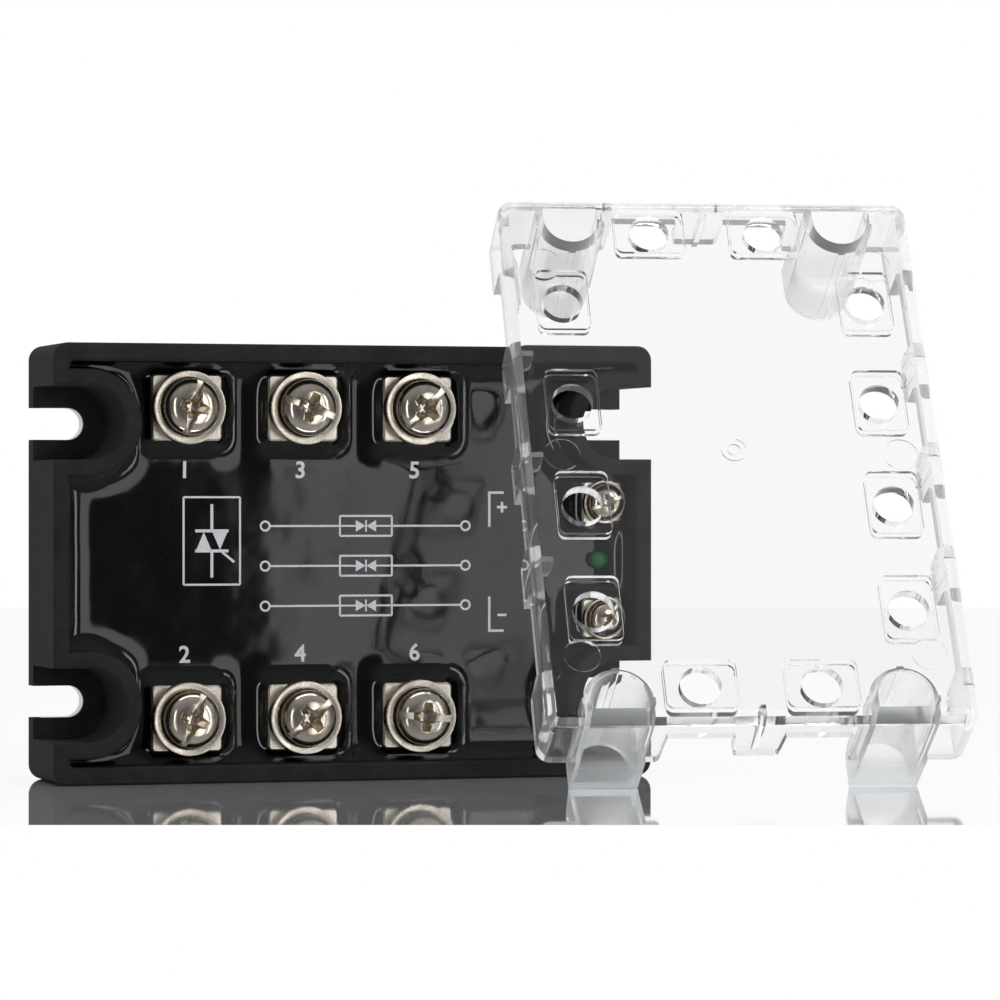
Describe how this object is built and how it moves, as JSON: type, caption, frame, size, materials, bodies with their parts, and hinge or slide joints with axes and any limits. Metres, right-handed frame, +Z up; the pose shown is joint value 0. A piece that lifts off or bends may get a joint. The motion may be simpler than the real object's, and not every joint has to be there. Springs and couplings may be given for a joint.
{
  "type": "solid state relay",
  "caption": "Three-phase solid state relay with screw terminals, standing on one long side beside its clear plastic cover.",
  "frame": {"origin": "centre of the base plate's heat-sink face", "axes": "+X along the relay's length towards its input terminals, +Y out of the heat-sink face, so the terminals face -Y, +Z up the relay's width as it stands, towards the line terminals"},
  "size_m": [0.1505, 0.0815, 0.0985],
  "materials": {
    "housing_plastic": "moulded black PBT, fine spark grain",
    "base_metal": "milled flat",
    "potting_compound": "black epoxy, cured glossy",
    "copper": "bare rolled copper",
    "silicon": "polished",
    "ceramic": "sintered alumina, copper clad",
    "board_laminate": "glass-epoxy laminate",
    "component_plastic": "moulded",
    "lamp_plastic": "tinted clear epoxy",
    "terminal_nickel": "nickel-plated brass",
    "washer_nickel": "nickel-plated steel",
    "screw_nickel": "nickel-plated steel",
    "clear_plastic": "clear polycarbonate, polished mould"
  },
  "bodies": {
    "relay": {"housing": "housing_plastic", "base_plate": "base_metal", "potting_resin": "potting_compound", "line_carrier": "housing_plastic", "load_carrier": "housing_plastic", "line_busbars": "copper", "load_busbars": "copper", "substrate_1": "ceramic", "substrate_2": "ceramic", "substrate_3": "ceramic", "thyristor_dies": "silicon", "driver_board": "board_laminate", "optocouplers": "component_plastic", "board_parts": "component_plastic", "status_lamp": "lamp_plastic", "input_terminal_plus": "terminal_nickel", "input_terminal_minus": "terminal_nickel", "line_terminal_1": "terminal_nickel", "line_terminal_2": "terminal_nickel", "line_terminal_3": "terminal_nickel", "load_terminal_1": "terminal_nickel", "load_terminal_2": "terminal_nickel", "load_terminal_3": "terminal_nickel"},
    "cover": {"clear_cover": "clear_plastic"},
    "line_1_washers": {"line_1_cup_washer": "washer_nickel", "line_1_lock_washer": "washer_nickel"},
    "line_1_screw_body": {"line_1_screw": "screw_nickel"},
    "line_2_washers": {"line_2_cup_washer": "washer_nickel", "line_2_lock_washer": "washer_nickel"},
    "line_2_screw_body": {"line_2_screw": "screw_nickel"},
    "line_3_washers": {"line_3_cup_washer": "washer_nickel", "line_3_lock_washer": "washer_nickel"},
    "line_3_screw_body": {"line_3_screw": "screw_nickel"},
    "load_1_washers": {"load_1_cup_washer": "washer_nickel", "load_1_lock_washer": "washer_nickel"},
    "load_1_screw_body": {"load_1_screw": "screw_nickel"},
    "load_2_washers": {"load_2_cup_washer": "washer_nickel", "load_2_lock_washer": "washer_nickel"},
    "load_2_screw_body": {"load_2_screw": "screw_nickel"},
    "load_3_washers": {"load_3_cup_washer": "washer_nickel", "load_3_lock_washer": "washer_nickel"},
    "load_3_screw_body": {"load_3_screw": "screw_nickel"},
    "input_plus_washers": {"input_plus_cup_washer": "washer_nickel", "input_plus_lock_washer": "washer_nickel"},
    "input_plus_screw_body": {"input_plus_screw": "screw_nickel"},
    "input_minus_washers": {"input_minus_cup_washer": "washer_nickel", "input_minus_lock_washer": "washer_nickel"},
    "input_minus_screw_body": {"input_minus_screw": "screw_nickel"}
  },
  "joints": [
    {"name": "cover_pull_off", "type": "slide", "parent": "relay", "child": "cover", "axis": [0, -1, 0], "range_m": [0, 0.06]},
    {"name": "line_1_washers_lift", "type": "slide", "parent": "relay", "child": "line_1_washers", "axis": [0, -1, 0], "range_m": [0, 0.0032]},
    {"name": "line_1_screw_turn", "type": "hinge", "parent": "line_1_washers", "child": "line_1_screw_body", "pos_m": [-0.02825, -0.018, 0.0262], "axis": [0, -1, 0], "range_deg": [0, 1440]},
    {"name": "line_2_washers_lift", "type": "slide", "parent": "relay", "child": "line_2_washers", "axis": [0, -1, 0], "range_m": [0, 0.0032]},
    {"name": "line_2_screw_turn", "type": "hinge", "parent": "line_2_washers", "child": "line_2_screw_body", "pos_m": [-0.00805, -0.018, 0.0262], "axis": [0, -1, 0], "range_deg": [0, 1440]},
    {"name": "line_3_washers_lift", "type": "slide", "parent": "relay", "child": "line_3_washers", "axis": [0, -1, 0], "range_m": [0, 0.0032]},
    {"name": "line_3_screw_turn", "type": "hinge", "parent": "line_3_washers", "child": "line_3_screw_body", "pos_m": [0.01215, -0.018, 0.0262], "axis": [0, -1, 0], "range_deg": [0, 1440]},
    {"name": "load_1_washers_lift", "type": "slide", "parent": "relay", "child": "load_1_washers", "axis": [0, -1, 0], "range_m": [0, 0.0032]},
    {"name": "load_1_screw_turn", "type": "hinge", "parent": "load_1_washers", "child": "load_1_screw_body", "pos_m": [-0.02825, -0.018, -0.0262], "axis": [0, -1, 0], "range_deg": [0, 1440]},
    {"name": "load_2_washers_lift", "type": "slide", "parent": "relay", "child": "load_2_washers", "axis": [0, -1, 0], "range_m": [0, 0.0032]},
    {"name": "load_2_screw_turn", "type": "hinge", "parent": "load_2_washers", "child": "load_2_screw_body", "pos_m": [-0.00805, -0.018, -0.0262], "axis": [0, -1, 0], "range_deg": [0, 1440]},
    {"name": "load_3_washers_lift", "type": "slide", "parent": "relay", "child": "load_3_washers", "axis": [0, -1, 0], "range_m": [0, 0.0032]},
    {"name": "load_3_screw_turn", "type": "hinge", "parent": "load_3_washers", "child": "load_3_screw_body", "pos_m": [0.01215, -0.018, -0.0262], "axis": [0, -1, 0], "range_deg": [0, 1440]},
    {"name": "input_plus_washers_lift", "type": "slide", "parent": "relay", "child": "input_plus_washers", "axis": [0, -1, 0], "range_m": [0, 0.002]},
    {"name": "input_plus_screw_turn", "type": "hinge", "parent": "input_plus_washers", "child": "input_plus_screw_body", "pos_m": [0.04535, -0.018, 0.01], "axis": [0, -1, 0], "range_deg": [0, 1440]},
    {"name": "input_minus_washers_lift", "type": "slide", "parent": "relay", "child": "input_minus_washers", "axis": [0, -1, 0], "range_m": [0, 0.002]},
    {"name": "input_minus_screw_turn", "type": "hinge", "parent": "input_minus_washers", "child": "input_minus_screw_body", "pos_m": [0.04535, -0.018, -0.01], "axis": [0, -1, 0], "range_deg": [0, 1440]}
  ],
  "couplings": [
    {"joint": "line_1_screw_turn", "follows": "line_1_washers_lift", "rad_per_m": 7854},
    {"joint": "line_2_screw_turn", "follows": "line_2_washers_lift", "rad_per_m": 7854},
    {"joint": "line_3_screw_turn", "follows": "line_3_washers_lift", "rad_per_m": 7854},
    {"joint": "load_1_screw_turn", "follows": "load_1_washers_lift", "rad_per_m": 7854},
    {"joint": "load_2_screw_turn", "follows": "load_2_washers_lift", "rad_per_m": 7854},
    {"joint": "load_3_screw_turn", "follows": "load_3_washers_lift", "rad_per_m": 7854},
    {"joint": "input_plus_screw_turn", "follows": "input_plus_washers_lift", "rad_per_m": 12566},
    {"joint": "input_minus_screw_turn", "follows": "input_minus_washers_lift", "rad_per_m": 12566}
  ]
}
